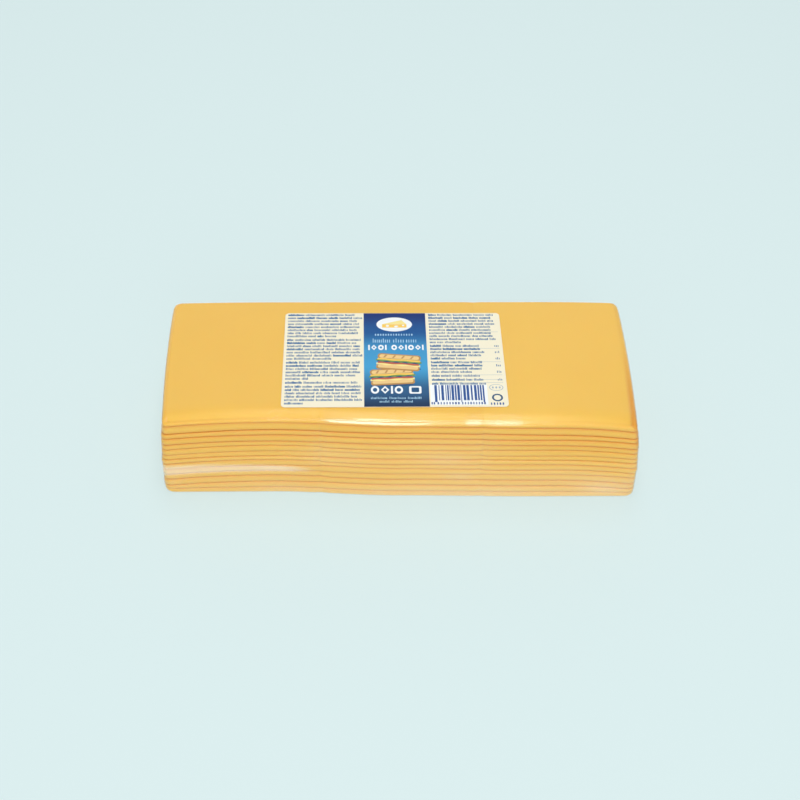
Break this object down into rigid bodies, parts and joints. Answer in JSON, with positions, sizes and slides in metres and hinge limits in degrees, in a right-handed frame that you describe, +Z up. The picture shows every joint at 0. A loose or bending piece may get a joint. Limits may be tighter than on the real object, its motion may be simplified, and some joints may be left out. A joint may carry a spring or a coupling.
{
  "type": "pack of sliced cheese",
  "caption": "Long catering pack of sliced cheese: stacks of slices side by side in one block, sealed tight in clear film, with a printed label on the top.",
  "frame": {"origin": "under the middle of the pack, on the surface that it rests on", "axes": "+X along the pack, -Y towards the front, where the slices' edges show in the picture, +Z up out of the labelled face"},
  "size_m": [0.2256, 0.0894, 0.0493],
  "materials": {
    "cheese_in_film": "yellow-orange processed cheese under tight clear film",
    "label_paper": "cream coated paper with a blue printed panel"
  },
  "bodies": {
    "root": {"sealed_pack": "cheese_in_film", "label": "label_paper"}
  },
  "joints": []
}
